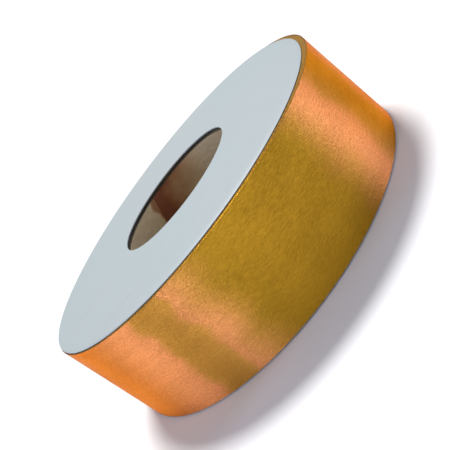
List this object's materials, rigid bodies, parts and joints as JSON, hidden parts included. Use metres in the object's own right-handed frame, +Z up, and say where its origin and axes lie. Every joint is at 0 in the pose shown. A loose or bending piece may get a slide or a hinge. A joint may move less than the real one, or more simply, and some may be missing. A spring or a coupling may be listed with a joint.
{
  "type": "copper foil tape roll",
  "caption": "Roll of satin copper foil tape on a paperboard core, with a pale card disc on each side and a free end that peels away.",
  "frame": {"origin": "centre of the underside of the far side disc, on the surface the roll lies on", "axes": "+Z up along the roll's axis, towards the near side disc; +X and +Y across the roll, with the tape's free end on the +Y side"},
  "size_m": [0.0665, 0.0666, 0.0196],
  "materials": {
    "copper_foil": "satin",
    "wound_turns": "satin",
    "adhesive": "gloss",
    "release_liner": "satin",
    "kraft_board": "matte",
    "grey_board": "matte",
    "start_patch": "gloss",
    "disc_card": "satin"
  },
  "bodies": {
    "root": {"core_inner_ply": "kraft_board", "core_body_ply_inner": "grey_board", "core_body_ply_outer": "grey_board", "core_outer_ply": "kraft_board", "tape_start_patch": "start_patch", "wound_tape": "wound_turns", "outer_turn_liner": "release_liner", "outer_turn_adhesive": "adhesive", "outer_turn_foil": "copper_foil"},
    "free_end_1": {"free_end_liner_1": "release_liner", "free_end_adhesive_1": "adhesive", "free_end_foil_1": "copper_foil"},
    "free_end_2": {"free_end_liner_2": "release_liner", "free_end_adhesive_2": "adhesive", "free_end_foil_2": "copper_foil"},
    "free_end_3": {"free_end_liner_3": "release_liner", "free_end_adhesive_3": "adhesive", "free_end_foil_3": "copper_foil"},
    "free_end_4": {"free_end_liner_4": "release_liner", "free_end_adhesive_4": "adhesive", "free_end_foil_4": "copper_foil"},
    "free_end_5": {"free_end_liner_5": "release_liner", "free_end_adhesive_5": "adhesive", "free_end_foil_5": "copper_foil"},
    "free_end_6": {"free_end_adhesive_6": "adhesive", "free_end_foil_6": "copper_foil"},
    "liner_end": {"free_end_liner_6": "release_liner"},
    "near_disc": {"near_side_disc": "disc_card"},
    "far_disc": {"far_side_disc": "disc_card"}
  },
  "joints": [
    {"name": "free_end_peel_1", "type": "hinge", "parent": "root", "child": "free_end_1", "pos_m": [0.01667, 0.02887, 0.00983], "axis": [0, 0, -1], "range_deg": [0, 15]},
    {"name": "free_end_peel_2", "type": "hinge", "parent": "free_end_1", "child": "free_end_2", "pos_m": [0.00863, 0.03221, 0.00983], "axis": [0, 0, -1], "range_deg": [0, 15]},
    {"name": "free_end_peel_3", "type": "hinge", "parent": "free_end_2", "child": "free_end_3", "pos_m": [0, 0.03336, 0.00983], "axis": [0, 0, -1], "range_deg": [0, 15]},
    {"name": "free_end_peel_4", "type": "hinge", "parent": "free_end_3", "child": "free_end_4", "pos_m": [-0.00864, 0.03223, 0.00983], "axis": [0, 0, -1], "range_deg": [0, 15]},
    {"name": "free_end_peel_5", "type": "hinge", "parent": "free_end_4", "child": "free_end_5", "pos_m": [-0.01669, 0.02891, 0.00983], "axis": [0, 0, -1], "range_deg": [0, 15]},
    {"name": "free_end_peel_6", "type": "hinge", "parent": "free_end_5", "child": "free_end_6", "pos_m": [-0.02361, 0.02361, 0.00983], "axis": [0, 0, -1], "range_deg": [0, 15]},
    {"name": "liner_peel", "type": "hinge", "parent": "free_end_5", "child": "liner_end", "pos_m": [-0.02344, 0.02344, 0.00983], "axis": [0, 0, 1], "range_deg": [0, 15]},
    {"name": "near_disc_lift", "type": "slide", "parent": "root", "child": "near_disc", "axis": [0, 0, 1], "range_m": [0, 0.03]},
    {"name": "far_disc_part", "type": "slide", "parent": "root", "child": "far_disc", "axis": [0, 0, -1], "range_m": [0, 0.03]}
  ],
  "couplings": [
    {"joint": "free_end_peel_2", "follows": "free_end_peel_1", "ratio": 1},
    {"joint": "free_end_peel_3", "follows": "free_end_peel_1", "ratio": 1},
    {"joint": "free_end_peel_4", "follows": "free_end_peel_1", "ratio": 1},
    {"joint": "free_end_peel_5", "follows": "free_end_peel_1", "ratio": 1},
    {"joint": "free_end_peel_6", "follows": "free_end_peel_1", "ratio": 1},
    {"joint": "liner_peel", "follows": "free_end_peel_1", "ratio": 1}
  ]
}
